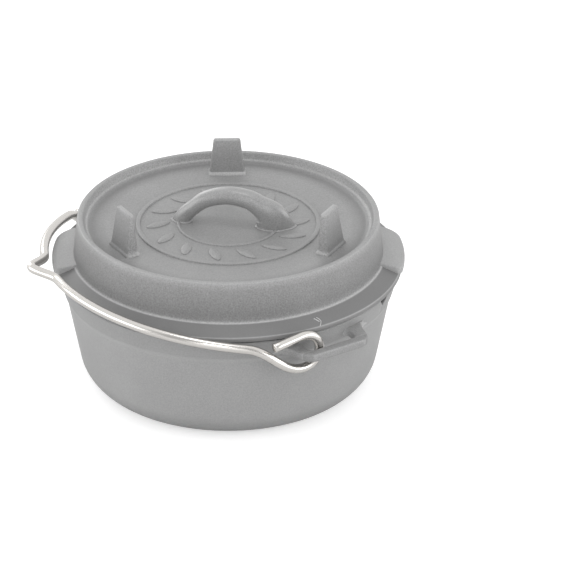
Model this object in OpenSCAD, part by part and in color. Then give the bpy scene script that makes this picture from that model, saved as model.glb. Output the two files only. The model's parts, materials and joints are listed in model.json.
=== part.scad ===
// Flat-bottom dutch oven: a cast pot, a cast lid that lifts off, and a wire bail.
// The origin is the centre of the pot's flat base, +Z is up and the two ears lie on the X axis.

/* [Pot] */
// Radius of the pot's wall, carried down to the base plane
wall_foot_r = 92; // [84:1:100]
// How far the wall leans out for each millimetre of height
wall_lean = 0.2; // [0.1:0.01:0.26]
// Radius of the rounded corner between base and wall
base_corner_r = 25; // [18:1:28]
// Height of the pot's rim
pot_h = 80; // [76:1:90]
// Thickness of the pot's wall
wall_t = 5; // [4:0.5:6]
// Thickness of the pot's floor
floor_t = 6; // [4:0.5:8]
// Height of the thickened band below the rim
band_h = 10; // [8:1:12]
// How far the band stands out from the wall
band_step = 1.2; // [0.8:0.1:2]
// How far the rim's edge stands out from the line of the wall
rim_over = 2; // [1.4:0.1:2.6]
// Width of the notch in the rim for a thermometer lead
notch_w = 10; // [7:0.5:11]
// Depth of the notch
notch_d = 7; // [5:0.5:8]
// Direction of the notch, in degrees from the front ear
notch_az = 31; // [27:1:36]

/* [Ears] */
// Depth of an ear's top face below the pot's rim
ear_drop = 6; // [5:0.5:8]
// Half width of an ear at its tip
ear_tip_half = 23.5; // [22:0.5:26]
// Half width of an ear where it leaves the rim
ear_root_half = 31.5; // [29:0.5:35]
// Thickness of an ear
ear_t = 5.4; // [4.8:0.2:6.4]
// Radius of an ear's corners
ear_corner_r = 9; // [5:0.5:10]
// Width of the side bars, beside the slot
side_bar = 6; // [4:0.5:7]
// Width of the bar in front of the slot
front_bar = 7.2; // [5:0.2:8]
// Radius of the slot's outer corners
slot_corner_r = 4; // [2:0.5:5]

/* [Lid] */
// Height from the base to the top of the lid's rim
lid_top = 115.5; // [112:0.5:122]
// How far the lid's rim is drawn in from the collar's foot
rim_draw = 3.3; // [2:0.1:5]
// Width of the rim's top land
rim_land = 3.5; // [3:0.5:5]
// Depth from the rim down to the tray
tray_d = 6; // [3:0.5:7]
// Thickness of the tray
tray_t = 6; // [5:0.5:8]
// How far the collar's foot lies inside the pot's inner edge
collar_set = 1.2; // [0.5:0.1:2]
// Height of the flange's inner edge above the pot's rim
flange_rise = 8.5; // [8:0.5:10]
// How far the flange stands out over the pot's rim
flange_over = 2; // [1:0.1:2.4]
// How far the flange falls from the collar to its edge
flange_fall = 4.2; // [3.5:0.1:5]
// Thickness of the flange's edge
flange_t = 2.9; // [2.5:0.1:3.2]
// How far the two grip tabs stand out from the flange
tab_over = 1.6; // [1:0.1:1.8]
// Half angle of a grip tab
tab_half_deg = 16.5; // [14:0.5:20]
// Direction of the first grip tab, in degrees from the front ear
tab_az = 56.5; // [50:0.5:66]
// Depth of the ring that centres the lid in the pot
centring_d = 6; // [4:0.5:8]
// Gap between that ring and the pot's wall
centring_gap = 1.2; // [0.8:0.1:1.6]

/* [Lid feet and handle] */
// Distance from the lid's axis to the inner face of a foot
foot_in = 71.5; // [68:0.5:74]
// Height of a foot above the tray
foot_h = 26.5; // [20:0.5:28]
// Width of a foot at the tray
foot_w = 22; // [18:0.5:24]
// Width of a foot at its top
foot_top_w = 16.2; // [14:0.2:18]
// Thickness of a foot at the tray
foot_t = 8; // [6:0.5:9]
// Thickness of a foot at its top
foot_top_t = 3.8; // [3:0.2:5]
// Direction of the first foot, in degrees from the front ear
foot_az = 27; // [24:0.5:34]
// Thickness of the handle's bar
handle_d = 12; // [10:0.5:13]
// Half distance between the handle's ends, at the tray
handle_half = 28.5; // [26:0.5:32]
// Height of the bar's middle above the tray at the top of the arch
handle_h = 20.3; // [18:0.1:22]
// Reach of the pointed heel at each end of the handle
heel_reach = 40.5; // [38:0.5:42]
// Direction of the handle, in degrees from the front ear
handle_az = 45.5; // [42:0.5:56]

/* [Lid relief] */
// Height of the raised pattern on the tray
relief_h = 1.1; // [0.6:0.1:1.2]
// Radius of the raised ring
relief_ring_r = 58; // [56:0.5:60]
// Length of a leaf in the pattern
leaf_len = 17; // [14:0.5:18]
// Width of a leaf
leaf_w = 6.5; // [5:0.5:8]
// Number of leaves round the lid
leaf_count = 14; // [10:2:16]

/* [Bail] */
// Thickness of the bail's wire
wire_d = 6; // [5:0.5:6]
// Gap between the bow's wire and the grip tabs
bow_gap = 1.9; // [1.5:0.1:4]
// Rise of the bow for each millimetre in front of the pot's axis
bow_pitch = 0.145; // [0.135:0.001:0.16]
// Fall of the bow for each millimetre towards the front ear
bow_roll = 0.037; // [0.02:0.001:0.045]
// Height that the bow's plane has over the pot's axis, above the pot's rim
bow_drop = -4.3; // [-5:0.1:-3]
// Direction of the hanging kink, in degrees from the front ear
kink_az = -109.5; // [-114:0.5:-90]
// How far the kink stands out of the bow
kink_out = 12.5; // [10:0.5:14]
// Half width of the kink, in degrees
kink_half_deg = 9.5; // [8:0.5:12]
// Gap between a hook's round end and the bar it turns on
hook_gap = 3.4; // [2.4:0.1:4]
// How much longer than high the hook's round end is, at each side
hook_long = 1.2; // [0:0.1:3]
// Gap between a hook and the lid's flange
lid_gap = 0.4; // [0.3:0.1:1]
// Gap between a hook and the front bar of the ear
hook_clear = 0.5; // [0.4:0.1:1]
// Length of the hook's cut arm
hook_arm = 20.5; // [16:0.5:26]

/* [Hidden] */
iron = [0.40, 0.40, 0.41];
steel = [0.80, 0.80, 0.79];
$fn = 96;

// Pot: the outer wall's radius at a height, and the corner where wall and base meet.
function wall_r(z) = wall_foot_r + wall_lean * z;
lean_deg = atan(wall_lean);
corner_run = base_corner_r * tan(45 - lean_deg / 2);
band_z = pot_h - band_h;
band_foot_r = wall_r(band_z) + band_step;
rim_edge_r = wall_r(pot_h) + rim_over;
rim_thick = 1.5;
rim_in_r = wall_r(pot_h) - wall_t - rim_thick;
pot_edge = 1.2;
inner_corner_r = base_corner_r - wall_t - 2;
ear_top = pot_h - ear_drop;
ear_mid = ear_top - ear_t / 2;
ear_bury = 12;
slot_half = ear_tip_half - side_bar;

// Lid: heights counted from the pot's rim, on which the lid's land lies.
tray_z = lid_top - tray_d;
collar_foot_r = rim_in_r - collar_set;
rim_r = collar_foot_r - rim_draw;
collar_foot_z = pot_h + flange_rise;
flange_r = rim_edge_r + flange_over;
flange_edge_z = collar_foot_z - flange_fall;
flange_low_z = flange_edge_z - flange_t;
land_w = 4;
land_out_r = rim_edge_r - land_w;
centring_r = rim_in_r - wall_lean * centring_d - centring_gap;
centring_t = 4.5;
collar_t = 5;
collar_in_r = collar_foot_r - collar_t;
crown_in_r = rim_r - collar_t - 1;
tray_side = 4.5;
tray_r = rim_r - rim_land - tray_side;
tab_r = flange_r + tab_over;
tab_in_r = collar_foot_r - 2;
tab_corner_r = 8;
tab_edge_t = 1.9;
tab_chamfer = 0.6;
root = 1;
plinth_h = 2;
plinth_over = 1.1;

// Handle: the arch's circle through the two ends and the top.
arch_r = (handle_half * handle_half + handle_h * handle_h) / (2 * handle_h);
arch_z = tray_z + handle_h - arch_r;

// Bail: the hinge line runs through the side bars of both ears, on the kink's side.
hook_set = 2.9;
hook_lift = 1.3;
hinge_y = -(slot_half + hook_set);
hinge_z = ear_mid + hook_lift;
hook_x = flange_r + lid_gap + wire_d / 2;
hook_r = norm([hook_set, ear_t / 2 + hook_lift]) + hook_gap + wire_d / 2;
bow_r = tab_r + bow_gap + wire_d / 2;
bow_start_deg = 28;
slot_out = hook_x + wire_d / 2 + hook_clear;
ear_reach = slot_out + front_bar;
ring_sides = 14;

// Section of the pot, as half a profile to be turned about Z.
module pot_profile() {
    difference() {
        union() {
            polygon([
                [0, 0], [wall_foot_r - corner_run, 0],
                [wall_foot_r + corner_run * sin(lean_deg), corner_run * cos(lean_deg)],
                [wall_r(band_z), band_z], [band_foot_r, band_z + band_step],
                [rim_edge_r, pot_h - pot_edge], [rim_edge_r - pot_edge, pot_h],
                [0, pot_h]]);
            intersection() {
                translate([wall_foot_r - corner_run, base_corner_r])
                    circle(r = base_corner_r);
                polygon([
                    [wall_foot_r - corner_run, 0], [wall_foot_r + 10, 0],
                    [wall_foot_r + corner_run * sin(lean_deg), corner_run * cos(lean_deg)]]);
            }
        }
        pot_cavity_profile();
    }
}

// Section of the space inside the pot.
module pot_cavity_profile() {
    top_r = rim_in_r;
    low_r = wall_foot_r - wall_t;
    in_lean = (top_r - low_r) / pot_h;
    in_deg = atan(in_lean);
    in_run = inner_corner_r * tan(45 - in_deg / 2);
    floor_r = low_r + in_lean * floor_t;
    polygon([
        [-1, floor_t], [floor_r - in_run, floor_t],
        [floor_r + in_run * sin(in_deg), floor_t + in_run * cos(in_deg)],
        [top_r + in_lean * 2, pot_h + 2], [-1, pot_h + 2]]);
    intersection() {
        translate([floor_r - in_run, floor_t + inner_corner_r])
            circle(r = inner_corner_r);
        polygon([
            [floor_r - in_run, floor_t], [floor_r + 10, floor_t],
            [floor_r + in_run * sin(in_deg), floor_t + in_run * cos(in_deg)]]);
    }
}

// Plan of one ear with its slot, pointing along +X. Each side runs straight from the root to the corner's circle.
module ear_plan() {
    root_x = rim_edge_r - ear_bury;
    corner = [ear_reach - ear_corner_r, ear_tip_half - ear_corner_r];
    run = corner - [root_x, ear_root_half];
    side_deg = atan2(run[1], run[0]) + asin(ear_corner_r / norm(run));
    meet = corner + ear_corner_r * [-sin(side_deg), cos(side_deg)];
    difference() {
        union() {
            polygon([
                [root_x, -ear_root_half], [meet[0], -meet[1]], [corner[0], -corner[1]],
                [ear_reach, -corner[1]], [ear_reach, corner[1]],
                corner, meet, [root_x, ear_root_half]]);
            for (side = [-1, 1])
                translate([corner[0], side * corner[1]])
                    circle(r = ear_corner_r);
        }
        slot_plan();
    }
}

// Plan of the slot: it is open to the pot's wall and has rounded outer corners.
module slot_plan() {
    in_x = rim_edge_r - ear_bury - root;
    translate([in_x, -slot_half])
        square([slot_out - slot_corner_r - in_x, 2 * slot_half]);
    translate([in_x, -(slot_half - slot_corner_r)])
        square([slot_out - in_x, 2 * (slot_half - slot_corner_r)]);
    for (side = [-1, 1])
        translate([slot_out - slot_corner_r, side * (slot_half - slot_corner_r)])
            circle(r = slot_corner_r);
}

module ears() {
    for (turn = [0, 180])
        rotate([0, 0, turn])
            translate([0, 0, ear_top - ear_t])
                linear_extrude(ear_t)
                    ear_plan();
}

// Notch in the rim, a triangle with its point down.
module lead_notch() {
    rotate([0, 0, notch_az])
        translate([rim_in_r - 3, 0, pot_h])
            rotate([90, 0, 90])
                linear_extrude(rim_edge_r - rim_in_r + 8)
                    polygon([[-notch_w, notch_d], [notch_w, notch_d], [0, -notch_d]]);
}

module pot() {
    color(iron)
    difference() {
        union() {
            rotate_extrude()
                pot_profile();
            difference() {
                ears();
                cylinder(r = rim_in_r + rim_thick, h = pot_h);
            }
        }
        lead_notch();
    }
}

// Section of the lid without its tabs, feet and handle.
module lid_profile() {
    polygon([
        [0, tray_z], [tray_r, tray_z], [tray_r + 1.5, tray_z + 1], [tray_r + 3.5, tray_z + 1.6],
        [rim_r - rim_land, lid_top - 0.6], [rim_r - rim_land + 0.8, lid_top],
        [rim_r - 0.8, lid_top], [rim_r, lid_top - 0.9],
        [collar_foot_r - 0.9, collar_foot_z + 3.2], [collar_foot_r, collar_foot_z + 1.1],
        [collar_foot_r + 1.6, collar_foot_z - 0.4],
        [flange_r - 0.6, flange_edge_z + 0.2], [flange_r, flange_edge_z - 0.7],
        [flange_r, flange_low_z + 0.5], [flange_r - 0.6, flange_low_z],
        [land_out_r + 1, flange_low_z + 1.6], [land_out_r, pot_h],
        [centring_r, pot_h], [centring_r, pot_h - centring_d + 1], [centring_r - 1, pot_h - centring_d],
        [centring_r - centring_t, pot_h - centring_d], [centring_r - centring_t - 0.5, pot_h],
        [collar_in_r, collar_foot_z], [crown_in_r, tray_z - tray_t - 3], [crown_in_r - 3, tray_z - tray_t],
        [0, tray_z - tray_t]]);
}

// One grip tab, level with the collar's foot: a wing that thins to its outer edge, with rounded corners.
module grip_tab() {
    intersection() {
        translate([0, 0, flange_low_z])
            linear_extrude(collar_foot_z - flange_low_z + 1)
                tab_plan();
        rotate_extrude($fn = 180)
            polygon([
                [tab_in_r, flange_edge_z - 1], [flange_r - 2, flange_edge_z - 1],
                [tab_r, collar_foot_z - tab_edge_t], [tab_r, collar_foot_z - tab_chamfer],
                [tab_r - tab_chamfer, collar_foot_z], [tab_in_r, collar_foot_z]]);
    }
}

module tab_plan() {
    corner_ring = tab_r - tab_corner_r;
    corner_deg = tab_half_deg - asin(tab_corner_r / corner_ring);
    wide = 2 * tab_r;
    intersection() {
        circle(r = tab_r + 1, $fn = 180);
        polygon([[0, 0], [wide * cos(corner_deg), -wide * sin(corner_deg)],
                 [wide * cos(corner_deg), wide * sin(corner_deg)]]);
    }
    intersection() {
        circle(r = corner_ring, $fn = 180);
        polygon([[0, 0], [wide * cos(tab_half_deg), -wide * sin(tab_half_deg)],
                 [wide * cos(tab_half_deg), wide * sin(tab_half_deg)]]);
    }
    for (side = [-1, 1])
        rotate(side * corner_deg)
            translate([corner_ring, 0])
                circle(r = tab_corner_r);
}

// One foot: a blade that narrows upwards both ways, on a low plinth.
module foot() {
    translate([foot_in, 0, tray_z]) {
        intersection() {
            rotate([90, 0, 90])
                linear_extrude(foot_t + root)
                    polygon([
                        [-foot_w / 2, -root], [foot_w / 2, -root], [foot_w / 2, 0], [foot_top_w / 2 + 0.3, foot_h - 1.5],
                        [foot_top_w / 2 - 1.2, foot_h], [-foot_top_w / 2 + 1.2, foot_h],
                        [-foot_top_w / 2 - 0.3, foot_h - 1.5], [-foot_w / 2, 0]]);
            rotate([90, 0, 0])
                linear_extrude(foot_w + 2 * root, center = true)
                    polygon([
                        [0, -root], [foot_t, -root], [foot_t, 0], [foot_top_t + 0.3, foot_h - 1],
                        [foot_top_t - 0.7, foot_h], [0.8, foot_h], [0, foot_h - 0.8]]);
        }
        translate([-plinth_over, -foot_w / 2 - plinth_over, -root])
            cube([foot_t + 2 * plinth_over, foot_w + 2 * plinth_over, plinth_h + root]);
    }
}

// The handle: an arch of round bar, with a bead and a pointed heel at each end.
module handle() {
    bead_r = 1.3;
    heel_low = tray_z - root;
    shoulder_deg = 50;
    knuckle_d = 8;
    tail_d = 5;
    function heel_line(x) = handle_h * sqrt(1 - x * x / heel_reach / heel_reach);
    rotate([0, 0, handle_az]) {
        intersection() {
            translate([0, 0, arch_z])
                rotate([90, 0, 0])
                    rotate_extrude()
                        translate([arch_r, 0])
                            circle(d = handle_d);
            translate([-heel_reach - 5, -handle_d, heel_low])
                cube([2 * heel_reach + 10, 2 * handle_d, 2 * handle_h + handle_d]);
        }
        for (turn = [0, 180])
            rotate([0, 0, turn]) {
                translate([handle_half + 1, 0, tray_z + 0.6])
                    rotate_extrude()
                        translate([handle_d / 2 + 0.4, 0])
                            circle(r = bead_r);
                hull() {
                    translate([arch_r * cos(shoulder_deg), 0, arch_z + arch_r * sin(shoulder_deg)])
                        sphere(d = handle_d - 0.6, $fn = 28);
                    translate([handle_half, -handle_d / 2 + 0.5, heel_low])
                        cube([1, handle_d - 1, 1]);
                    translate([heel_reach - 1, 0, heel_low])
                        cylinder(d = 2, h = 2, $fn = 16);
                    translate([handle_half - knuckle_d / 2, 0, tray_z + heel_line(handle_half) - 0.5])
                        sphere(d = knuckle_d, $fn = 28);
                    translate([handle_half + 4, 0, tray_z + heel_line(handle_half + 6)])
                        sphere(d = tail_d, $fn = 28);
                }
            }
    }
}

// A raised ring with sloping sides, of a given radius and half width.
module raised_ring(r, half) {
    rotate_extrude()
        translate([r, tray_z])
            polygon([
                [-half, -root], [half, -root], [half, 0], [half - 0.6, relief_h],
                [0.6 - half, relief_h], [-half, 0]]);
}

// Two raised rings with a wreath of leaves between them.
module relief() {
    leaf_r = (leaf_len * leaf_len / 4 + leaf_w * leaf_w / 4) / leaf_w;
    ring_gap = 4.5;
    leaf_turn = 28;
    raised_ring(relief_ring_r, 1.6);
    raised_ring(relief_ring_r - leaf_len - 2 * ring_gap, 1.1);
    for (i = [0 : leaf_count - 1])
        rotate([0, 0, handle_az + (i + 0.5) * 360 / leaf_count])
            translate([relief_ring_r - leaf_len / 2 - ring_gap, 0, tray_z - root])
                rotate([0, 0, leaf_turn])
                    linear_extrude(root + relief_h)
                        intersection() {
                            translate([0, leaf_r - leaf_w / 2])
                                circle(r = leaf_r);
                            translate([0, -leaf_r + leaf_w / 2])
                                circle(r = leaf_r);
                        }
}

module lid() {
    color(iron)
    union() {
        rotate_extrude($fn = 180)
            lid_profile();
        for (turn = [0, 180])
            rotate([0, 0, tab_az + turn])
                grip_tab();
        for (turn = [0, 120, 240])
            rotate([0, 0, foot_az + turn])
                foot();
        handle();
        relief();
    }
}

// Bail: points of the wire's middle line, from the front hook's cut end to the back hook's.
function plane_z(x, y) = pot_h + bow_drop - bow_pitch * y - bow_roll * x;
function kink_bump(s) = s >= 1 ? 0 : pow(1 - (sqrt(s * s + 0.02) - 0.141) / 0.869, 1.5);
function bow_radius(a) = bow_r + kink_out * kink_bump(min(1, abs(a - kink_az) / kink_half_deg));
function bow_point(a) = let (r = bow_radius(a), x = r * cos(a), y = r * sin(a)) [x, y, plane_z(x, y)];
function bezier(p, t) = pow(1 - t, 3) * p[0] + 3 * t * pow(1 - t, 2) * p[1]
    + 3 * t * t * (1 - t) * p[2] + pow(t, 3) * p[3];

// A hook's points run from the cut end over the ear, down through the slot and back below the bar.
arm_fall_deg = 7;
function hook_round(side, a) =
    [side * hook_x, hinge_y + (hook_r + hook_long) * cos(a), hinge_z + hook_r * sin(a)];
hook_top_deg = 90 + arm_fall_deg;
function hook_points(side) = concat(
    [for (i = [3 : -1 : 1])
        hook_round(side, hook_top_deg)
        + i / 3 * hook_arm * [0, -cos(arm_fall_deg), -sin(arm_fall_deg)]],
    [for (i = [0 : 16]) hook_round(side, hook_top_deg - i / 16 * (hook_top_deg + 90))]);

// The shank joins the round end to the bow.
shank_reach = 15;
function shank_points(side) =
    let (low = hook_round(side, -90),
         a0 = side > 0 ? -bow_start_deg : bow_start_deg - 180,
         a1 = a0 - side * 1,
         start = bow_point(a0),
         along = (bow_point(a1) - start) / norm(bow_point(a1) - start))
    [for (i = [1 : 9]) bezier([low, low + [0, -shank_reach, 0], start - shank_reach * along, start], i / 10)];

function bow_angles(steps) = [for (i = [0 : steps]) -bow_start_deg - i / steps * (180 - 2 * bow_start_deg)];
function turned(list) = [for (i = [len(list) - 1 : -1 : 0]) list[i]];
wire_path = concat(
    hook_points(1), shank_points(1),
    [for (a = bow_angles(88)) bow_point(a)],
    turned(shank_points(-1)), turned(hook_points(-1)));

function unit(v) = v / norm(v);
function heading(p, i) = unit(p[min(i + 1, len(p) - 1)] - p[max(i - 1, 0)]);
function outward(p, i, t) = let (v = unit([p[i][0], p[i][1] * 0.5, 0])) unit(v - (v * t) * t);

// A round tube along a path: one ring of points at each stop, and a flat cap at each end.
module tube(path, d, sides) {
    n = len(path);
    rings = [for (i = [0 : n - 1])
        let (t = heading(path, i), u = outward(path, i, t), w = cross(t, u))
        for (k = [0 : sides - 1])
            path[i] + d / 2 * (cos(k * 360 / sides) * u + sin(k * 360 / sides) * w)];
    walls = [for (i = [0 : n - 2], k = [0 : sides - 1])
        let (a = i * sides + k, b = i * sides + (k + 1) % sides)
        for (f = [[a, b, b + sides], [a, b + sides, a + sides]]) f];
    first = [for (k = [sides - 1 : -1 : 0]) k];
    last = [for (k = [0 : sides - 1]) (n - 1) * sides + k];
    polyhedron(points = rings, faces = [for (f = concat(walls, [first, last])) turned(f)], convexity = 8);
}

module bail() {
    color(steel)
        tube(wire_path, wire_d, ring_sides);
}

pot();
lid();
bail();
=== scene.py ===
# %% [markdown]
# # A flat-bottom dutch oven
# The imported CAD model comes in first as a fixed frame: a cast pot, a cast lid and a wire bail, in metres, with +Z up.
# Everything made below is set on that frame, so each piece keeps the size and place that the CAD gives it.

# %% Load the frame
import bpy
import bmesh
import json
from math import asin, atan2, cos, pi, radians, sin, sqrt
from mathutils import Matrix, Vector

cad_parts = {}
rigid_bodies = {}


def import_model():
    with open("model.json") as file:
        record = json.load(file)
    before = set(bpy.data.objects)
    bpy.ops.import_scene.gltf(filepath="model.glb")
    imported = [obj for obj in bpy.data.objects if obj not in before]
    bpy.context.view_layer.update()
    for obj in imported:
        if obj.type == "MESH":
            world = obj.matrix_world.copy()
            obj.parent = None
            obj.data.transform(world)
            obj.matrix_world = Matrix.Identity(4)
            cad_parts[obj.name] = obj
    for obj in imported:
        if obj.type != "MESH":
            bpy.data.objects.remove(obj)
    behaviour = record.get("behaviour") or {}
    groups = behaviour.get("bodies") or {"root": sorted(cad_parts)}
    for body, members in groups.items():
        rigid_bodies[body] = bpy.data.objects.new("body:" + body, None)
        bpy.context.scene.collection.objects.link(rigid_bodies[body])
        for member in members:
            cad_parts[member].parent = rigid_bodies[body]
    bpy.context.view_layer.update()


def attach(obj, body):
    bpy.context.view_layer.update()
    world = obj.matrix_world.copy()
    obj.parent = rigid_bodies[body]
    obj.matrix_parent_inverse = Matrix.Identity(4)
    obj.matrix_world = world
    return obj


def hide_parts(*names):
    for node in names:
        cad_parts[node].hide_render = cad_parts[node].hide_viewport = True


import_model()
cad_objects = set(bpy.context.scene.objects)
mm = 0.001

# %% [markdown]
# ## Camera
# A product picture is taken from far away with a long lens, which keeps the two sides of a round pot alike.
# The lens stands 4 m off and 26.9 degrees above the table, 56.5 degrees round from the front ear.
# Three small turns after the tilt put the pot left of the picture's middle, as the photograph has it.

# %% Camera
camera_azimuth = radians(56.5)
camera_elevation = 0.46958
camera_distance = 4.0
aim_height = 70 * mm
frame_px, focal_px, film_mm = 584, 6197.95, 36.0
swing, tip_down, roll = -0.010235, -0.002212, -0.003950
camera_data = bpy.data.cameras.new("camera")
camera_data.sensor_width = film_mm
camera_data.lens = focal_px * film_mm / frame_px
camera = bpy.data.objects.new("camera", camera_data)
bpy.context.scene.collection.objects.link(camera)
around = Matrix.Rotation(camera_azimuth, 4, "Z")
to_camera = Vector((0, -cos(camera_elevation), sin(camera_elevation)))
stand = around @ (camera_distance * to_camera + Vector((0, 0, aim_height)))
aim = (Matrix.Rotation(pi / 2 - camera_elevation, 4, "X") @ Matrix.Rotation(swing, 4, "Y")
       @ Matrix.Rotation(tip_down, 4, "X") @ Matrix.Rotation(roll, 4, "Z"))
camera.matrix_world = Matrix.Translation(stand) @ around @ aim
bpy.context.scene.camera = camera
print("camera at", [round(c, 3) for c in camera.location], "lens", round(camera_data.lens, 1), "mm")

# %% [markdown]
# ## Helpers for meshes
# Castings and turned parts start as a section with rounded corners. The section is drawn once as a face,
# its corners are bevelled one by one, and a spin carries its outline round the pot's axis.
# A vertex bevel on a flat face gives the round that a pattern maker would draw in the section.

# %% Mesh helpers
weld = 0.002 * mm
on_axis = 1e-9


def corner_face(bm, corners, place):
    """A face through the corners (a, b, rounding), put in space by place(a, b)."""
    before = set(bm.faces)
    verts = [bm.verts.new(place(a, b)) for a, b, _ in corners]
    bm.faces.new(verts)
    for size in sorted({c[2] for c in corners if c[2] > 0}):
        picked = [v for v, c in zip(verts, corners) if c[2] == size]
        bmesh.ops.bevel(bm, geom=picked, offset=size * mm, offset_type="OFFSET", segments=12 if size > 3 else 4,
                        profile=0.5, affect="VERTICES", material=-1)
    return next(f for f in bm.faces if f not in before)


def pull(bm, faces, shift):
    """Extrude the faces, move the new side by the shift, and return its corners."""
    grown = bmesh.ops.extrude_face_region(bm, geom=faces)["geom"]
    corners = [g for g in grown if isinstance(g, bmesh.types.BMVert)]
    bmesh.ops.translate(bm, verts=corners, vec=shift)
    return corners


def ease(bm, edges, size, segments, clamp):
    """Round the edges by a size in mm, as sand and use leave no sharp edge."""
    bmesh.ops.bevel(bm, geom=edges, offset=size * mm, offset_type="OFFSET", segments=segments, profile=0.5,
                    affect="EDGES", material=-1, clamp_overlap=clamp)


def turn_round(bm, degrees):
    """Turn the whole mesh about the pot's axis."""
    bmesh.ops.rotate(bm, verts=bm.verts[:], cent=(0, 0, 0), matrix=Matrix.Rotation(radians(degrees), 3, "Z"))


def circle_angles(count):
    return [2 * pi * k / count for k in range(count)]


def finish_piece(bm, name, body, node, smooth_deg=32):
    """Turn the bmesh into an object that rides on its body and stands for its CAD node."""
    bmesh.ops.remove_doubles(bm, verts=bm.verts[:], dist=weld)
    bmesh.ops.recalc_face_normals(bm, faces=bm.faces[:])
    mesh = bpy.data.meshes.new(name)
    bm.to_mesh(mesh)
    bm.free()
    mesh.shade_smooth()
    mesh.set_sharp_from_angle(angle=radians(smooth_deg))
    piece = bpy.data.objects.new(name, mesh)
    bpy.context.scene.collection.objects.link(piece)
    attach(piece, body)
    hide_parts(node)
    size = [max(v.co[i] for v in mesh.vertices) - min(v.co[i] for v in mesh.vertices) for i in range(3)]
    print(name, "faces", len(mesh.polygons), "size mm", [round(s / mm, 1) for s in size])
    return piece


def cut_away(piece, cutter_bm):
    """Subtract a closed bmesh from a piece's mesh and throw the cutter away."""
    bmesh.ops.recalc_face_normals(cutter_bm, faces=cutter_bm.faces[:])
    mesh = bpy.data.meshes.new("cutter")
    cutter_bm.to_mesh(mesh)
    cutter_bm.free()
    cutter = bpy.data.objects.new("cutter", mesh)
    bpy.context.scene.collection.objects.link(cutter)
    cut = piece.modifiers.new("cut", "BOOLEAN")
    cut.operation, cut.solver, cut.object = "DIFFERENCE", "EXACT", cutter
    result = bpy.data.meshes.new_from_object(piece.evaluated_get(bpy.context.evaluated_depsgraph_get()))
    piece.modifiers.clear()
    piece.data = result
    bpy.data.objects.remove(cutter)


def turned(bm, corners, steps=240):
    """Spin a rounded section once round the Z axis. Corners are (radius, height, rounding) in mm."""
    face = corner_face(bm, corners, lambda r, z: (r * mm, 0, z * mm))
    outline = [e for e in face.edges if max(abs(v.co.x) for v in e.verts) > on_axis]
    bmesh.ops.delete(bm, geom=[face], context="FACES_ONLY")
    loose = [e for e in bm.edges if not e.link_faces and max(abs(v.co.x) for v in e.verts) <= on_axis]
    bmesh.ops.delete(bm, geom=loose, context="EDGES")
    verts = list({v for e in outline for v in e.verts})
    bmesh.ops.spin(bm, geom=verts + outline, cent=(0, 0, 0), axis=(0, 0, 1), dvec=(0, 0, 0), angle=2 * pi,
                   steps=steps, use_merge=True, use_normal_flip=False, use_duplicate=False)
    bmesh.ops.remove_doubles(bm, verts=bm.verts[:], dist=weld)


# %% [markdown]
# ## The pot
# The pot is sand cast: a flat base, a corner of 25 mm, a wall that leans out by a fifth and a thicker band at the rim.
# It could be a cylinder with its faces pushed about, but one spun section gives every radius at once.
# A bevel's size is its run along both sides, so a corner that isn't square takes less than its radius.

# %% Sizes of the pot
pot_h, wall_foot_r, wall_lean, floor_t = 80.0, 92.0, 0.2, 6.0
rim_edge_r, rim_in_r = 110.0, 101.5
band_z, band_step, band_rise = 64.2, 0.9, 2.4
floor_r, floor_round, foot_round = 88.09, 15.03, 20.49


def wall_r(z):
    return wall_foot_r + wall_lean * z


# %% Pot body
bm = bmesh.new()
band_top = band_z + band_rise
turned(bm, [
    (0, 0, 0), (wall_foot_r, 0, foot_round), (wall_r(band_z), band_z, 1.2),
    (wall_r(band_top) + band_step, band_top, 1.2), (rim_edge_r, pot_h, 1.2), (rim_in_r, pot_h, 0.7),
    (floor_r, floor_t, floor_round), (0, floor_t, 0)])
pot_body = finish_piece(bm, "pot_body", "pot", "pot")

# %% [markdown]
# ## The notch in the rim
# A V is filed into the rim so that the lead of a thermometer can pass under the lid.
# A cutter with the section of the file is subtracted from the casting, as the file does it.

# %% Notch
notch_az, notch_w, notch_d = 31.5, 12.5, 6.2
cut_from, cut_long = 98.5, 16.5
bm = bmesh.new()
tip = corner_face(bm, [(-notch_w, notch_d, 0), (notch_w, notch_d, 0), (0, -notch_d, 0)],
                  lambda a, b: (cut_from * mm, a * mm, (pot_h + b) * mm))
pull(bm, [tip], (cut_long * mm, 0, 0))
turn_round(bm, notch_az)
cut_away(pot_body, bm)
print("notch cut, faces now", len(pot_body.data.polygons))

# %% [markdown]
# ## The ears
# Each ear is a plate with a long slot for the bail's hook. The slot runs up to the pot's wall.
# The plan is drawn with rounded corners, pulled up to the plate's thickness and then its edges are eased,
# because a sand mould leaves no sharp edge. The ends of the two arms are hidden inside the pot's wall.

# %% Ears
ear_t, ear_top = 5.4, 74.0
slot_out, slot_half, ear_reach = 118.9, 17.5, 126.1
slot_in, bare_r = 106.2, 104.5


def make_ear(name, turn):
    bm = bmesh.new()
    plan = corner_face(bm, [
        (98, 42.0, 0), (101.3, 16.0, 0), (slot_in, 16.0, 0), (slot_in, slot_half + 1.2, 2.5),
        (slot_out, slot_half + 1.2, 4.0), (slot_out, -slot_half, 4.0), (slot_in, -slot_half, 2.5),
        (slot_in, -14.8, 0), (101.3, -14.8, 0),
        (98, -40.5, 0), (104.0, -29.3, 6.0), (ear_reach, -21.2, 6.2), (ear_reach, 24.2, 7.0), (104.2, 30.9, 6.5)],
        lambda x, y: (x * mm, y * mm, (ear_top - ear_t) * mm))
    pull(bm, [plan], (0, 0, ear_t * mm))
    bmesh.ops.recalc_face_normals(bm, faces=bm.faces[:])
    edges = [e for e in bm.edges if abs(e.verts[0].co.z - e.verts[1].co.z) < 1e-6
             and max(v.co.x for v in e.verts) > bare_r * mm]
    ease(bm, edges, 1.3, 4, False)
    turn_round(bm, turn)
    return finish_piece(bm, name, "pot", "pot", 40)


make_ear("ear_front", 0)
make_ear("ear_back", 180)

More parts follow.
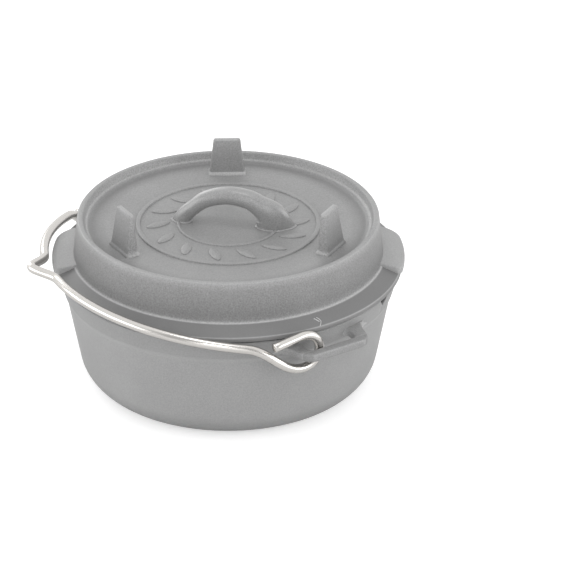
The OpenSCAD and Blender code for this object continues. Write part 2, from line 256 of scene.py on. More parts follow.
# %% [markdown]
# ## The lid
# The lid is one casting too: a tray for coals inside a raised rim, a leaning collar, and a flange that sheds ash
# over the pot's rim.
# Below it a ring drops into the pot and centres it. All of that is turned from one section.

# %% Lid shell
lid_top, tray_z = 115.5, 109.5
rim_r, flange_in_r, flange_r = 97.0, 99.8, 112.0
flange_in_z, flange_out_z = 89.3, 84.5
bm = bmesh.new()
turned(bm, [
    (0, tray_z, 0), (89.4, tray_z, 1.6), (90.4, 111.2, 0.5), (92.0, 111.5, 0.6), (93.5, lid_top, 0.8),
    (rim_r, lid_top, 1.0), (flange_in_r, flange_in_z, 1.6), (flange_r, flange_out_z, 1.1), (flange_r, 81.4, 0.6),
    (107.0, 83.0, 0.5), (106.0, pot_h, 0), (99.1, pot_h, 0), (99.1, 74.0, 1.0), (94.6, 74.0, 0.5), (94.1, pot_h, 0),
    (95.3, 88.5, 2.0), (91.0, 101.0, 2.0), (88.0, 103.5, 1.5), (0, 103.5, 0)], steps=288)
finish_piece(bm, "lid_shell", "lid", "lid")

# %% [markdown]
# ## Grip tabs
# Two wings at the collar's foot give the hands a hold. A disc is cut to the wing's plan with planes: one along
# the collar and a fan of them for each end, whose corner is tight at the near end and wide at the far one.
# It is then given its thickness, and its top falls and its underside rises towards the outer edge.

# %% Grip tabs
tab_r, tab_half_deg, tab_top, tab_fall = 113.6, 16.2, 90.4, 0.16
tab_in, tab_low, tab_low_rise, tab_flat_r = 95.5, 81.0, 5.0, 101.0
near_corner, far_corner, corner_cuts = 3.8, 15.0, 14


def flange_z(r):
    return flange_in_z + (flange_out_z - flange_in_z) * (r - flange_in_r) / (flange_r - flange_in_r)


def make_tab(name, azimuth, near_side):
    bm = bmesh.new()
    bmesh.ops.create_circle(bm, cap_ends=True, segments=288, radius=tab_r * mm)
    planes = [(Vector((tab_in, 0)), Vector((-1, 0)))]
    for side in (-1, 1):
        corner_r = near_corner if side == near_side else far_corner
        ring = tab_r - corner_r
        corner_deg = tab_half_deg - asin(corner_r / ring) * 180 / pi
        centre = ring * Vector((cos(radians(corner_deg)), side * sin(radians(corner_deg))))
        for i in range(corner_cuts):
            turn = radians(side * (tab_half_deg + 90 - i * (90 + tab_half_deg - corner_deg) / corner_cuts))
            normal = Vector((cos(turn), sin(turn)))
            planes.append((centre + corner_r * normal, normal))
    for point, normal in planes:
        bmesh.ops.bisect_plane(bm, geom=bm.verts[:] + bm.edges[:] + bm.faces[:], dist=1e-7, clear_outer=True,
                               plane_co=(point.x * mm, point.y * mm, 0), plane_no=(normal.x, normal.y, 0))
    low = set(pull(bm, bm.faces[:], (0, 0, 0)))
    for v in bm.verts:
        x = v.co.x / mm
        under = tab_low + tab_low_rise * (x - tab_in) / (tab_r - tab_in)
        v.co.z = (under if v in low else tab_top - tab_fall * (x - tab_flat_r)) * mm
    bmesh.ops.recalc_face_normals(bm, faces=bm.faces[:])
    edges = [e for e in bm.edges if not (set(e.verts) & low) and max(v.co.x for v in e.verts) > (tab_in + 0.1) * mm]
    ease(bm, edges, 0.9, 3, True)
    for face in bm.faces:
        face.normal_update()
        # The near end's faces take the second iron, which is painted paler: a painted light.
        face.material_index = 1 if near_side * face.normal.y > 0.7 else 0
    turn_round(bm, azimuth)
    return finish_piece(bm, name, "lid", "lid", 50)


tab_az = 56.5
make_tab("grip_tab_right", tab_az + 4, -1)
make_tab("grip_tab_left", tab_az + 176, 1)

# %% [markdown]
# ## Feet
# The lid stands on three blades when it is turned over as a griddle. Each narrows upwards both ways, so that it
# leaves the sand, and stands on a low plinth. A rectangle is extruded level by level, and the corners are eased
# at the end. Each level is (height, near side, far side, half width). Two of the blades slant a little sideways.

# %% Feet
def make_foot(name, azimuth, foot_in, foot_h, slant):
    bm = bmesh.new()
    levels = [(-0.6, -1.4, 8.8, 12.4), (1.0, -1.2, 8.5, 12.2), (1.7, -0.7, 8.2, 11.7), (2.3, 0.0, 7.8, 11.1),
              (4.2, 0.0, 7.3, 10.9), (foot_h, 0.0, 3.5, 8.7)]
    verts = [bm.verts.new((0, 0, 0)) for _ in range(4)]
    face = bm.faces.new(verts)
    for count, (z, near, far, half) in enumerate(levels):
        if count:
            grown = bmesh.ops.extrude_face_region(bm, geom=[face])["geom"]
            old, face = face, next(g for g in grown if isinstance(g, bmesh.types.BMFace))
            if count > 1:
                bm.faces.remove(old)
            verts = face.verts[:]
        for v, (x, y) in zip(verts, ((near, -half), (far, -half), (far, half), (near, half))):
            v.co = ((foot_in + x) * mm, (y + slant * max(0.0, z) / foot_h) * mm, (tray_z + z) * mm)
    bmesh.ops.recalc_face_normals(bm, faces=bm.faces[:])
    edges = [e for e in bm.edges if abs(e.verts[0].co.z - e.verts[1].co.z) > 0.05 * mm
             or min(v.co.z for v in e.verts) > (tray_z + foot_h - 0.1) * mm]
    ease(bm, edges, 1.1, 4, True)
    for face in bm.faces:
        face.normal_update()
        # The narrow ends take the second iron, which is rougher and painted paler: a painted light.
        face.material_index = 1 if abs(face.normal.y) > 0.8 else 0
    turn_round(bm, azimuth)
    return finish_piece(bm, name, "lid", "lid", 45)


foot_az = 27.0
make_foot("foot_right", foot_az + 1, 70.5, 26.5, 1.2)
make_foot("foot_back", foot_az + 120, 71.5, 25.5, 0.0)
make_foot("foot_left", foot_az + 238.5, 71.8, 26.5, -2.2)

# %% [markdown]
# ## Rings that grow along a path
# The handle and the wire are both a ring carried along a path. One helper starts from a circle,
# extrudes its edge once for each stop and lays the new ring where the stop says.

# %% Sweep helper
def sweep(bm, stops):
    """Carry a ring through the stops, each a list of points, and close both ends."""
    first = bmesh.ops.create_circle(bm, cap_ends=False, segments=len(stops[0]), radius=mm)["verts"]
    ring = [first[0]]
    while len(ring) < len(first):
        ring.append(next(e.other_vert(ring[-1]) for e in ring[-1].link_edges if e.other_vert(ring[-1]) not in ring))
    edges = list({e for v in ring for e in v.link_edges})
    start = edges
    for v, point in zip(ring, stops[0]):
        v.co = point
    for stop in stops[1:]:
        grown = bmesh.ops.extrude_edge_only(bm, edges=edges)["geom"]
        new = {g for g in grown if isinstance(g, bmesh.types.BMVert)}
        edges = [g for g in grown if isinstance(g, bmesh.types.BMEdge) and g.verts[0] in new and g.verts[1] in new]
        ring = [next(e.other_vert(v) for e in v.link_edges if e.other_vert(v) in new) for v in ring]
        for v, point in zip(ring, stop):
            v.co = point
    bmesh.ops.contextual_create(bm, geom=start)
    bmesh.ops.contextual_create(bm, geom=edges)


# %% [markdown]
# ## The lid's handle
# The handle is a round bar cast as an arch. It leaves the tray at a slant, is thinner at its back end and spreads
# into a wide foot with a point at its front end. A few stops give the arch its height and thickness, and a smooth
# curve is laid through them, which follows a hand-made pattern better than one ellipse would.

# %% Handle
def through(stops, t):
    """A smooth value at t, from 0 to 1, on a curve through the stops (Catmull-Rom)."""
    spot = t * (len(stops) - 1)
    i = min(int(spot), len(stops) - 2)
    u = spot - i
    p = [Vector(stops[min(max(k, 0), len(stops) - 1)]) for k in (i - 1, i, i + 1, i + 2)]
    return 0.5 * (2 * p[1] + (p[2] - p[0]) * u + (2 * p[0] - 5 * p[1] + 4 * p[2] - p[3]) * u * u
                  + (3 * p[1] - p[0] - 3 * p[2] + p[3]) * u ** 3)


handle_az, handle_steps, handle_sides, foot_skew = 45.5, 72, 28, 5.5
sunk, spread_h = 1.5, 12
# Each stop: place along the handle, height above the tray, thickness in the arch's plane and across it, in mm.
handle_stops = [(-31.5, -sunk, 13.0, 9.0), (-28.0, 4.6, 11.0, 9.5), (-22.5, 10.0, 10.0, 10.5),
                (-14.2, 16.4, 10.8, 11.5), (-0.5, 20.2, 11.6, 12.4), (12.8, 18.6, 12.4, 13.0),
                (21.0, 14.2, 14.2, 13.2), (27.9, 8.4, 20.5, 13.0), (31.2, -sunk, 25.5, 11.5)]
rings = []
for i in range(handle_steps + 1):
    t = i / handle_steps
    s, h, thick, wide = through(handle_stops, t)
    before, after = through(handle_stops, max(0.0, t - 0.01)), through(handle_stops, min(1.0, t + 0.01))
    ahead = Vector((after[0] - before[0], after[1] - before[1])).normalized()
    level = max(0.0, 1 - max(0.0, h + sunk) / spread_h) ** 1.5
    out_dir = Vector((-ahead.y, ahead.x)).lerp(Vector((-1.0 if s < 0 else 1.0, 0.0)), level).normalized()
    ring = []
    for a in circle_angles(handle_sides):
        reach = thick / 2 * cos(a)
        outer = level * max(0.0, cos(a)) ** 2
        across = wide / 2 * sin(a) * (1 - 0.5 * outer) + (foot_skew if s > 0 else 0.0) * outer
        ring.append(Vector(((s + reach * out_dir.x) * mm, across * mm, (tray_z + h + reach * out_dir.y) * mm)))
    rings.append(ring)
bm = bmesh.new()
sweep(bm, rings)
turn_round(bm, handle_az)
finish_piece(bm, "lid_handle", "lid", "lid", 60)


# %% Beads at the handle's feet
bead_r, bead_sides = 0.9, 10


def make_bead(name, ring):
    """A thin bead round a foot of the handle, where the sand of the mould was joined."""
    foot_ring = [Vector((p.x, p.y, tray_z * mm)) for p in ring]
    middle = sum(foot_ring, Vector()) / len(foot_ring)
    stops = []
    for p in foot_ring + foot_ring[:1]:
        out_dir = (p - middle).normalized()
        stops.append([p + (0.1 + bead_r * cos(a)) * mm * out_dir + bead_r * mm * sin(a) * Vector((0, 0, 1))
                      for a in circle_angles(bead_sides)])
    bm = bmesh.new()
    sweep(bm, stops)
    bmesh.ops.delete(bm, geom=[f for f in bm.faces if len(f.verts) > 4], context="FACES_ONLY")
    turn_round(bm, handle_az)
    return finish_piece(bm, name, "lid", "lid", 60)


def off_tray(ring):
    """How far a ring's middle is from the tray's surface."""
    return abs(sum(p.z for p in ring) / handle_sides - tray_z * mm)


make_bead("handle_bead_back", min(rings[:12], key=off_tray))
make_bead("handle_bead_front", min(rings[-12:], key=off_tray))

# %% [markdown]
# ## Veins on the flange
# Where the sand of the mould cracked, the iron ran into the crack and left fine raised lines.
# Each is a thin ring carried over the flange's slope, sunk to half its thickness.

# %% Veins
vein_r, vein_sides = 0.3, 8
# Each point is (degrees round from the front ear, radius).
vein_lines = (((-2.7, 105.2), (-2.1, 106.8), (-1.6, 108.4)),
              ((-1.6, 104.9), (-1.0, 106.7), (-1.0, 108.4), (-1.7, 110.2), (-2.3, 111.4)))
bm = bmesh.new()
for line in vein_lines:
    stops = []
    for deg, r in line:
        out_dir = Vector((cos(radians(deg)), sin(radians(deg)), 0))
        side_dir = Vector((-out_dir.y, out_dir.x, 0))
        middle = r * out_dir + Vector((0, 0, flange_z(r)))
        stops.append([(middle + vein_r * cos(a) * side_dir + vein_r * sin(a) * Vector((0, 0, 1))) * mm
                      for a in circle_angles(vein_sides)])
    sweep(bm, stops)
finish_piece(bm, "flange_veins", "lid", "lid", 60)

# %% [markdown]
# ## A plain wreath on the tray
# The tray has a low cast ornament: a ring of leaves between two beads. The rings are turned.
# A leaf is a lens cut from a disc: the ends of a circle are drawn to points, then it is raised and its top is
# drawn in to a ridge.

# %% Rings of the relief
relief_h, relief_root = 1.1, 0.4
bm = bmesh.new()
for ring_r, half in ((58.0, 1.6), (32.0, 1.1)):
    turned(bm, [(ring_r - half, tray_z - relief_root, 0), (ring_r + half, tray_z - relief_root, 0),
                (ring_r + half - 0.2, tray_z + relief_h, 0.6), (ring_r - half + 0.2, tray_z + relief_h, 0.6)],
           steps=144)
finish_piece(bm, "relief_rings", "lid", "lid", 60)

# %% Leaves of the relief
leaf_count, leaf_len, leaf_w, leaf_turn, leaf_ring_r = 14, 17.0, 6.5, 28.0, 45.0
bm = bmesh.new()
for i in range(leaf_count):
    place = (Matrix.Rotation(radians(handle_az + (i + 0.5) * 360 / leaf_count), 4, "Z")
             @ Matrix.Translation((leaf_ring_r * mm, 0, tray_z * mm)) @ Matrix.Rotation(radians(leaf_turn), 4, "Z"))
    disc = bmesh.ops.create_circle(bm, cap_ends=True, segments=32, radius=1.0)["verts"]
    for v in disc:
        along, side = v.co.x, v.co.y
        v.co = (along * leaf_len / 2 * mm, side * abs(side) ** 0.4 * leaf_w / 2 * mm, -relief_root * mm)
    face = disc[0].link_faces[0]
    leaf = set(disc)
    for rise, drawn_in in ((0.9, 1.0), (0.35, 0.72), (0.25, 0.25)):
        grown = bmesh.ops.extrude_face_region(bm, geom=[face])["geom"]
        bm.faces.remove(face)
        face = next(g for g in grown if isinstance(g, bmesh.types.BMFace))
        for v in face.verts:
            v.co = (v.co.x * (0.5 + drawn_in / 2), v.co.y * drawn_in, v.co.z + rise * mm)
        leaf.update(face.verts)
    bmesh.ops.transform(bm, verts=list(leaf), matrix=place)
finish_piece(bm, "relief_leaves", "lid", "lid", 40)

# %% [markdown]
# ## The bail
# The bail is one steel wire, 6 mm thick, bent by hand over formers. From its cut end it runs over the ear, down
# through the slot and back under the bar, then out into the bow that lies round the lid, with a kink to hang it by.
# The path is written once with the bends' radii, and a ring is carried along it.

# %% Path of the wire
hook_x, hinge_y, hinge_z, hook_r, hook_long = 115.4, -20.4, 72.6, 11.34, 1.2
hook_arm, arm_fall_deg, shank_reach = 20.5, 7.0, 15.0
hook_from_deg, hook_turn_deg, hook_steps, shank_steps = 97, 187, 32, 14
bow_r, kink_az, kink_out, kink_half_deg, bow_start_deg = 118.5, -109.0, 12.0, 7.8, 28.0
bow_steps, smooth_passes = 440, 26
bow_drop, bow_tilt_y, bow_tilt_x = 4.3, 0.145, 0.037


def bow_point(deg):
    """A point of the bow: a ring round the pot, tilted, with the kink as a rounded peak."""
    s = min(1.0, abs(deg - kink_az) / kink_half_deg)
    bump = 0.0 if s >= 1 else max(0.0, 1 - (sqrt(s * s + 0.045) - 0.212) / 0.81) ** 1.5
    r = bow_r + kink_out * bump
    x, y = r * cos(radians(deg)), r * sin(radians(deg))
    return Vector((x, y, pot_h - bow_drop - bow_tilt_y * y - bow_tilt_x * x))


def hook_round(side, deg):
    t = radians(deg)
    return Vector((side * hook_x, hinge_y + (hook_r + hook_long) * cos(t), hinge_z + hook_r * sin(t)))


def hook_side(side):
    """The hook's cut arm, its round and the shank that leads into the bow."""
    fall = radians(arm_fall_deg)
    arm = [hook_round(side, hook_from_deg) + i / 4 * hook_arm * Vector((0, -cos(fall), -sin(fall)))
           for i in range(4, 0, -1)]
    turn = [hook_round(side, hook_from_deg - i * hook_turn_deg / hook_steps) for i in range(hook_steps + 1)]
    low, first = turn[-1], -bow_start_deg if side > 0 else bow_start_deg - 180
    begin = bow_point(first)
    along = (bow_point(first - side) - begin).normalized()
    a, b, c = low, low + Vector((0, -shank_reach, 0)), begin - shank_reach * along
    shank = [(1 - t) ** 3 * a + 3 * t * (1 - t) ** 2 * b + 3 * t * t * (1 - t) * c + t ** 3 * begin
             for t in (i / shank_steps for i in range(1, shank_steps))]
    return arm + turn + shank


bow = [bow_point(-bow_start_deg - i / bow_steps * (180 - 2 * bow_start_deg)) for i in range(bow_steps + 1)]
for _ in range(smooth_passes):
    bow = [bow[0]] + [(a + 2 * b + c) / 4 for a, b, c in zip(bow, bow[1:], bow[2:])] + [bow[-1]]
wire_path = hook_side(1) + bow + hook_side(-1)[::-1]
wire_length = sum((b - a).length for a, b in zip(wire_path, wire_path[1:]))
print("wire path", len(wire_path), "points, length mm", round(wire_length))

# %% Bail
wire_d, wire_sides = 6.0, 24
ends = (wire_path[1] - wire_path[0]).normalized(), (wire_path[-2] - wire_path[-1]).normalized()
# The cut ends are rounded over: the wire narrows in two short steps.
path = ([wire_path[0], wire_path[0] + 0.3 * ends[0], wire_path[0] + 0.9 * ends[0]] + wire_path[1:-1]
        + [wire_path[-1] + 0.9 * ends[1], wire_path[-1] + 0.3 * ends[1], wire_path[-1]])
scale = [0.78, 0.93, 1.0] + [1.0] * (len(wire_path) - 2) + [1.0, 0.93, 0.78]
stops, side_dir = [], Vector((1, 0, 0))
for i, point in enumerate(path):
    ahead = (path[min(i + 1, len(path) - 1)] - path[max(i - 1, 0)]).normalized()
    side_dir = (side_dir - side_dir.dot(ahead) * ahead).normalized()
    up_dir = ahead.cross(side_dir)
    stops.append([(point + wire_d / 2 * scale[i] * (cos(a) * side_dir + sin(a) * up_dir)) * mm
                  for a in circle_angles(wire_sides)])
bm = bmesh.new()
sweep(bm, stops)
bail_wire = finish_piece(bm, "bail_wire", "bail", "bail", 50)

# %% [markdown]
# ## Colours and nodes
# Colours are written as hex codes, as a colour card gives them, and one function makes them linear.
# Every material is built from nodes, so it keeps its detail at any distance and needs no image.

# %% Colour and node helpers
def linear(code):
    """An sRGB hex colour as linear red, green, blue and alpha."""
    parts = [int(code[i:i + 2], 16) / 255 for i in (0, 2, 4)]
    return tuple(c / 12.92 if c <= 0.04045 else ((c + 0.055) / 1.055) ** 2.4 for c in parts) + (1.0,)


def node(tree, kind, links=None, **settings):
    """Add a node, set its settings, and link its inputs by name or number."""
    made = tree.nodes.new("ShaderNode" + kind)
    for key, value in settings.items():
        setattr(made, key, value)
    for key, value in (links or {}).items():
        if isinstance(value, bpy.types.NodeSocket):
            tree.links.new(value, made.inputs[key])
        else:
            made.inputs[key].default_value = value
    return made


def material(name):
    """A material with an empty node tree and its output node."""
    made = bpy.data.materials.new(name)
    made.use_nodes = True
    made.node_tree.nodes.clear()
    return made, made.node_tree, node(made.node_tree, "OutputMaterial")


# %% [markdown]
# ## Seasoned cast iron
# The pot and the lid are grey iron cast in sand and seasoned with oil. The sand leaves a fine grain,
# and the oil film gives a soft sheen that brightens where the surface turns away from the eye.
# The base is a dull dielectric, not bare metal, because the film and the oxide hide the iron.
# One tree makes all the cast pieces. Its inputs say how coarse the sand was, and where light and shade
# are painted and where the surface is worn.
# The tone of each is the grey that the photograph has; seasoned iron is darker in life.
# Ramps along a radius or a height paint highlights on edges and corners and painted shade in the bands and hollows
# beside them, and a few also mark worn places. Their factors were set against the photograph, so they hold some of
# the light and shade that the lamps don't give. They go all the way round, so the iron looks alike from every side.

# %% Cast iron
cloud_mm = 34
pit_ratio = 2.2


def cast_iron(name, tone, grain_mm=0.9, grain_depth=0.06, rough=0.5, speckle=0.2, painted_light_and_wear=(), coat=0.0, coat_rough=0.24):
    """Sand-cast seasoned iron. Each ramp of painted light and worn places is (axis, [(place in mm, tone factor, grain
    factor), ...]).

    The axes are the radius and the height, and reach, the distance from the plane between the two ears.
    """
    made, tree, out = material(name)
    where = node(tree, "TexCoord").outputs["Object"]
    split = node(tree, "SeparateXYZ", {0: where})
    flat = node(tree, "CombineXYZ", {0: split.outputs[0], 1: split.outputs[1]})
    radius = node(tree, "VectorMath", {0: flat.outputs[0]}, operation="LENGTH").outputs["Value"]
    grain = node(tree, "TexNoise", {"Vector": where, "Scale": 1000 / grain_mm, "Detail": 3.0,
                                    "Roughness": 0.6}).outputs[0]
    pits = node(tree, "TexVoronoi", {"Vector": where, "Scale": 1000 / (grain_mm * pit_ratio),
                                     "Randomness": 1.0}).outputs["Distance"]
    cloud = node(tree, "TexNoise", {"Vector": where, "Scale": 1000 / cloud_mm, "Detail": 3.0,
                                    "Roughness": 0.55}).outputs[0]
    axes = {"radius": radius, "height": split.outputs[2],
            "reach": node(tree, "Math", {0: split.outputs[0]}, operation="ABSOLUTE").outputs[0]}
    tone_factor, grain_factor = 1.0, 1.0
    # Each ramp paints light and shade, and marks worn places, as factors on the tone and the grain.
    for axis, stops in painted_light_and_wear:
        low, high = stops[0][0], stops[-1][0]
        along = node(tree, "MapRange", {0: axes[axis], 1: low * mm, 2: high * mm, 3: 0.0, 4: 1.0})
        ramp = node(tree, "ValToRGB", {0: along.outputs[0]})
        points = ramp.color_ramp.elements
        for place, _, _ in stops[1:-1]:
            points.new((place - low) / (high - low))
        for point, (place, tone_part, grain_part) in zip(points, stops):
            point.position = (place - low) / (high - low)
            point.color = (tone_part / 2, grain_part / 4, 0, 1)
        parts = node(tree, "SeparateColor", {0: ramp.outputs[0]})
        tone_part = node(tree, "Math", {0: parts.outputs[0], 1: 2.0}, operation="MULTIPLY").outputs[0]
        grain_part = node(tree, "Math", {0: parts.outputs[1], 1: 4.0}, operation="MULTIPLY").outputs[0]
        tone_factor = node(tree, "Math", {0: tone_part, 1: tone_factor}, operation="MULTIPLY").outputs[0]
        grain_factor = node(tree, "Math", {0: grain_part, 1: grain_factor}, operation="MULTIPLY").outputs[0]
    spots = node(tree, "Math", {0: grain, 1: -0.5}, operation="ADD").outputs[0]
    amount = node(tree, "Math", {0: grain_factor, 1: 4.5 * speckle}, operation="MULTIPLY").outputs[0]
    spots = node(tree, "Math", {0: spots, 1: amount, 2: 1.0}, operation="MULTIPLY_ADD").outputs[0]
    clouds = node(tree, "Math", {0: cloud, 1: 0.22, 2: 0.89}, operation="MULTIPLY_ADD").outputs[0]
    shade = node(tree, "Math", {0: spots, 1: clouds}, operation="MULTIPLY").outputs[0]
    shade = node(tree, "Math", {0: shade, 1: tone_factor}, operation="MULTIPLY").outputs[0]
    colour = node(tree, "VectorMath", {0: linear(tone)[:3], "Scale": shade}, operation="SCALE").outputs[0]
    height = node(tree, "Math", {0: pits, 1: 0.6, 2: grain}, operation="MULTIPLY_ADD").outputs[0]
    height = node(tree, "Math", {0: height, 1: grain_factor}, operation="MULTIPLY").outputs[0]
    bump = node(tree, "Bump", {"Height": height, "Strength": 0.5, "Distance": grain_depth * mm}).outputs[0]
    gloss = node(tree, "Math", {0: grain, 1: 0.18, 2: rough - 0.09}, operation="MULTIPLY_ADD").outputs[0]
    skin = node(tree, "BsdfPrincipled", {"Base Color": colour, "Roughness": gloss, "Normal": bump, "Metallic": 0.0,
                                         "IOR": 1.5, "Coat Weight": coat, "Coat Roughness": coat_rough})
    tree.links.new(skin.outputs[0], out.inputs["Surface"])
    return made


# %% Iron of the pot, the lid and the parts on the lid
# The pot is painted paler at its foot, a painted reflection of the white floor. Its band's step is painted paler,
# a painted light against the shadow under it, and the band above the step is a little darker.
iron_pot = cast_iron("sand_cast_iron_pot", "929292", rough=0.47, speckle=0.12, painted_light_and_wear=[
    ("height", [(0, 1.7, 1.0), (2.5, 1.2, 1.0), (8, 1.0, 1.0), (62.8, 1.0, 1.0), (64.6, 1.1, 1.0), (66.2, 1.07, 1.0),
                (67.4, 0.93, 1.0), (80, 0.92, 1.0)])])
# The ear is painted paler towards the pot's wall, a painted light against the flange's shadow. The bar has painted
# highlights along both edges, with painted shade on its top between them.
iron_ear = cast_iron("sand_cast_iron_ear", "868686", rough=0.47, painted_light_and_wear=[
    ("radius", [(102, 1.5, 1.0), (108, 1.4, 1.0), (114, 1.1, 1.0), (119, 1.0, 1.0), (130, 1.0, 1.0)]),
    ("reach", [(117.5, 1.0, 1.0), (118.95, 1.0, 1.0), (119.5, 1.22, 1.0), (120.3, 0.88, 1.0), (124.8, 0.88, 1.0),
               (125.5, 1.15, 1.0), (126.05, 1.0, 1.0)])])
# The tabs are a paler grey than the lid. The near end of each is painted paler still, a painted light.
iron_tab = cast_iron("sand_cast_iron_tab", "949494", rough=0.45, speckle=0.15)
iron_tab_end_painted_light = cast_iron("cut_iron_tab_end", "999999", rough=0.5, speckle=0.15)
# From the middle out, mostly painted light and shade: the tray darker at its edge, a painted shade in the corner
# under the rim; the bead and the rim's corners paler, painted highlights; the collar darker downwards, painted shade,
# with a pale bead at its foot that is partly worn and partly a painted highlight; and the flange, smooth and painted
# dark, a painted shade, with a painted highlight on its lip and painted shade on its outer edge.
iron_lid = cast_iron("sand_cast_iron_lid", "868686", rough=0.45, speckle=0.17, painted_light_and_wear=[
    ("radius", [
        (0, 1.0, 1.0), (60, 1.0, 1.0), (78, 1.06, 1.0), (83, 0.93, 1.0), (87, 0.76, 0.8), (89.4, 0.78, 1.0),
        (90.2, 1.0, 1.2), (91.2, 1.4, 1.6), (92.0, 1.1, 1.6), (93.4, 1.05, 1.4), (95.0, 1.15, 1.0), (96.4, 1.15, 1.0),
        (96.9, 1.35, 1.0), (97.4, 0.9, 1.4), (99.3, 0.67, 1.6), (100.1, 0.9, 1.8), (100.3, 1.5, 1.6), (100.8, 1.5, 1.4),
        (101.3, 0.64, 0.4), (111.3, 0.62, 0.3), (111.65, 1.35, 0.4), (111.9, 1.0, 0.4), (112, 0.72, 0.4)])])
iron_vein = cast_iron("sand_cast_iron_vein", "b8b8b8", rough=0.45)
iron_relief = cast_iron("sand_cast_iron_relief", "888888", rough=0.45)
# The feet are painted light and shade: paler on the plinth and at the top, painted highlights; darker low on the
# blade, painted shade; paler on the inner faces than on the outer ones. Their ends are rougher, and painted a little
# paler: a painted light.
foot_painted_light = [("height", [(109, 0.9, 1.0), (110.4, 1.25, 1.0), (111.4, 1.25, 1.0), (112.2, 0.85, 1.0), (122, 0.86, 1.0),
                         (134.0, 1.05, 1.0), (136.2, 1.3, 1.0)])]
# The inner faces are painted paler and the outer faces darker: painted light and shade.
foot_face_painted_light = [("radius", [(69, 1.2, 1.0), (72, 1.15, 1.0), (76, 0.88, 1.0), (82, 0.84, 1.0)])]
iron_foot = cast_iron("sand_cast_iron_foot", "848484", rough=0.45, painted_light_and_wear=foot_painted_light + foot_face_painted_light)
iron_foot_end_rough_painted_light = cast_iron("rough_foot_end_iron_painted_light", "8a8a8a", grain_depth=0.16, rough=0.5, speckle=0.32,
                          painted_light_and_wear=foot_painted_light)
# The handle is rubbed smooth by hands and keeps a film of oil, which gives it the broadest shine.
iron_handle = cast_iron("sand_cast_iron_handle", "858585", grain_mm=0.75, rough=0.34, speckle=0.24, coat=1.0,
                        coat_rough=0.34)
looks = {"pot": [iron_pot], "ear": [iron_ear], "lid_shell": [iron_lid], "flange": [iron_vein],
         "grip": [iron_tab, iron_tab_end_painted_light], "relief": [iron_relief], "foot": [iron_foot, iron_foot_end_rough_painted_light],
         "lid_handle": [iron_handle], "handle_bead": [iron_handle]}
for piece in bpy.context.scene.objects:
    if piece.type == "MESH" and piece not in cad_objects:
        for key, irons in looks.items():
            if piece.name.startswith(key):
                for iron in irons:
                    piece.data.materials.append(iron)
print("iron materials", len([m for m in bpy.data.materials if "iron" in m.name]))

# %% [markdown]
# ## Polished steel wire
# The bail is drawn steel wire, polished bright. It mirrors the white surroundings, and only the sides that look
# at the pot are darker. Faint lines run along a drawn wire; at this distance they only soften its mirror,
# so a fine noise on the roughness stands for them.

# %% Steel
line_mm = 1.6
steel_wire, tree, out = material("polished_drawn_steel_wire")
where = node(tree, "TexCoord").outputs["Object"]
fine = node(tree, "TexNoise", {"Vector": where, "Scale": 1000 / line_mm, "Detail": 2.0}).outputs[0]
gloss = node(tree, "Math", {0: fine, 1: 0.06, 2: 0.19}, operation="MULTIPLY_ADD").outputs[0]
skin = node(tree, "BsdfPrincipled", {"Base Color": linear("d6d3cf"), "Metallic": 1.0, "Roughness": gloss})
tree.links.new(skin.outputs[0], out.inputs["Surface"])
bail_wire.data.materials.append(steel_wire)
print("steel on", bail_wire.name)

# %% [markdown]
# ## Floor and light
# The picture is a cut-out on white, so the floor and the world are white wherever the camera sees them directly,
# and the metal mirrors a white table. One part of what it mirrors is half as bright: the unlit side of the studio,
# where a photographer stands. It is part of the surroundings, and stays in its place when the view changes.

# %% World
world = bpy.data.worlds.new("world")
bpy.context.scene.world = world
world.use_nodes = True
tree = world.node_tree
tree.nodes.clear()
path = node(tree, "LightPath")
seen = node(tree, "Math", {0: path.outputs["Is Camera Ray"], 1: path.outputs["Is Glossy Ray"]}, operation="MAXIMUM")
seen = node(tree, "Math", {0: seen.outputs[0], 1: path.outputs["Is Transmission Ray"]}, operation="MAXIMUM")
soft = node(tree, "Background", {"Color": (1, 1, 1, 1), "Strength": 1.0})
toward = around @ to_camera
sky = node(tree, "TexCoord").outputs["Generated"]
facing = node(tree, "VectorMath", {0: sky, 1: toward}, operation="DOT_PRODUCT").outputs["Value"]
patch_from, patch_full, patch_level = 0.6, 0.9, 0.5
dark = node(tree, "MapRange", {0: facing, 1: patch_from, 2: patch_full, 3: 1.0, 4: patch_level}).outputs[0]
shown = node(tree, "Mix", {0: path.outputs["Is Camera Ray"], 6: dark, 7: (1, 1, 1, 1)}, data_type="RGBA").outputs[2]
white = node(tree, "Background", {"Color": shown, "Strength": 1.0})
both = node(tree, "MixShader", {0: seen.outputs[0], 1: soft.outputs[0], 2: white.outputs[0]})
node(tree, "OutputWorld", {"Surface": both.outputs[0]})
print("world nodes", len(tree.nodes))

# %% [markdown]
# ## Floor
# The floor is a sheet of white paper. It scatters light evenly, so it shows a faint shadow under the pot and no gloss.
# The camera sees a glow added to it, which brings the paper to the white of the picture but keeps the shadow.

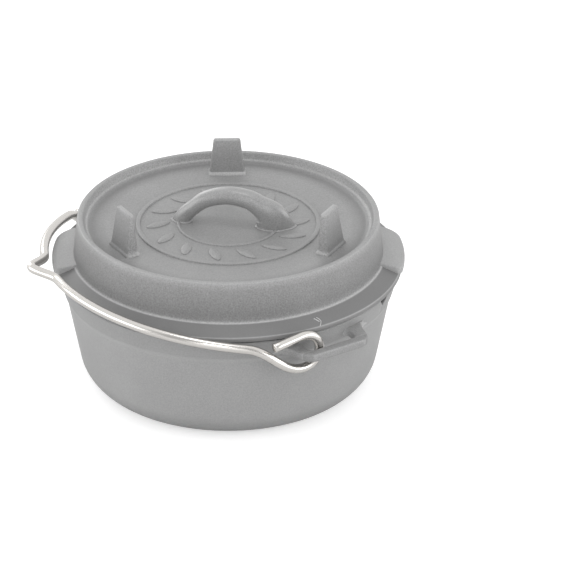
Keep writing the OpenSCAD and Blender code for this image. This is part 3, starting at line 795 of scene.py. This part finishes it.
# %% Floor
bm = bmesh.new()
bmesh.ops.create_grid(bm, x_segments=2, y_segments=2, size=3.0)
floor_mesh = bpy.data.meshes.new("floor")
bm.to_mesh(floor_mesh)
bm.free()
floor = bpy.data.objects.new("floor", floor_mesh)
bpy.context.scene.collection.objects.link(floor)
paper, tree, out = material("white_paper_floor")
path = node(tree, "LightPath")
cast = node(tree, "BsdfDiffuse", {"Color": linear("d8d8d8")})
glow = node(tree, "Emission", {"Color": (1, 1, 1, 1), "Strength": 0.5})
lit = node(tree, "AddShader", {0: cast.outputs[0], 1: glow.outputs[0]})
seen = node(tree, "MixShader", {0: path.outputs["Is Camera Ray"], 1: cast.outputs[0], 2: lit.outputs[0]})
tree.links.new(seen.outputs[0], out.inputs["Surface"])
floor.data.materials.append(paper)
print("floor", [round(side, 1) for side in floor.dimensions], "m")

# %% [markdown]
# ## Lamps
# Six soft boxes light the pot, as in a product studio: a wide one at each side, two small ones high up, a weak one
# in front for the wall and one behind for the sheen on the far rim. They are large, so the shadows stay faint.

# %% Lamps
def softbox(name, place, target, wide, high, power):
    """A soft box, wide by high in metres, that faces the target."""
    data = bpy.data.lights.new(name, "AREA")
    data.shape = "RECTANGLE"
    data.size, data.size_y = wide, high
    data.energy = power
    lamp = bpy.data.objects.new(name, data)
    bpy.context.scene.collection.objects.link(lamp)
    lamp.location = around @ Vector(place)
    lamp.rotation_euler = (around @ Vector(target) - lamp.location).to_track_quat("-Z", "Y").to_euler()


softbox("side_left", (-2.0, -0.5, 0.55), (0, 0, 0.06), 2.4, 1.1, 16)
softbox("side_right", (2.0, -0.5, 0.55), (0, 0, 0.06), 2.4, 1.1, 16)
softbox("front_low", (0.0, -2.4, 0.5), (0, 0, 0.05), 1.4, 1.4, 6)
softbox("sheen_behind", (-1.5, 2.4, 1.3), (0, 0, 0.11), 1.9, 1.5, 16)
softbox("overhead", (0.1, -0.2, 2.0), (0, 0, 0.11), 0.5, 0.5, 3.6)
softbox("front_high", (0.1, -2.0, 1.55), (0, 0, 0.11), 0.4, 0.4, 5)

# %% Plain view
view = bpy.context.scene.view_settings
view.view_transform = "Standard"
print("view", view.view_transform)
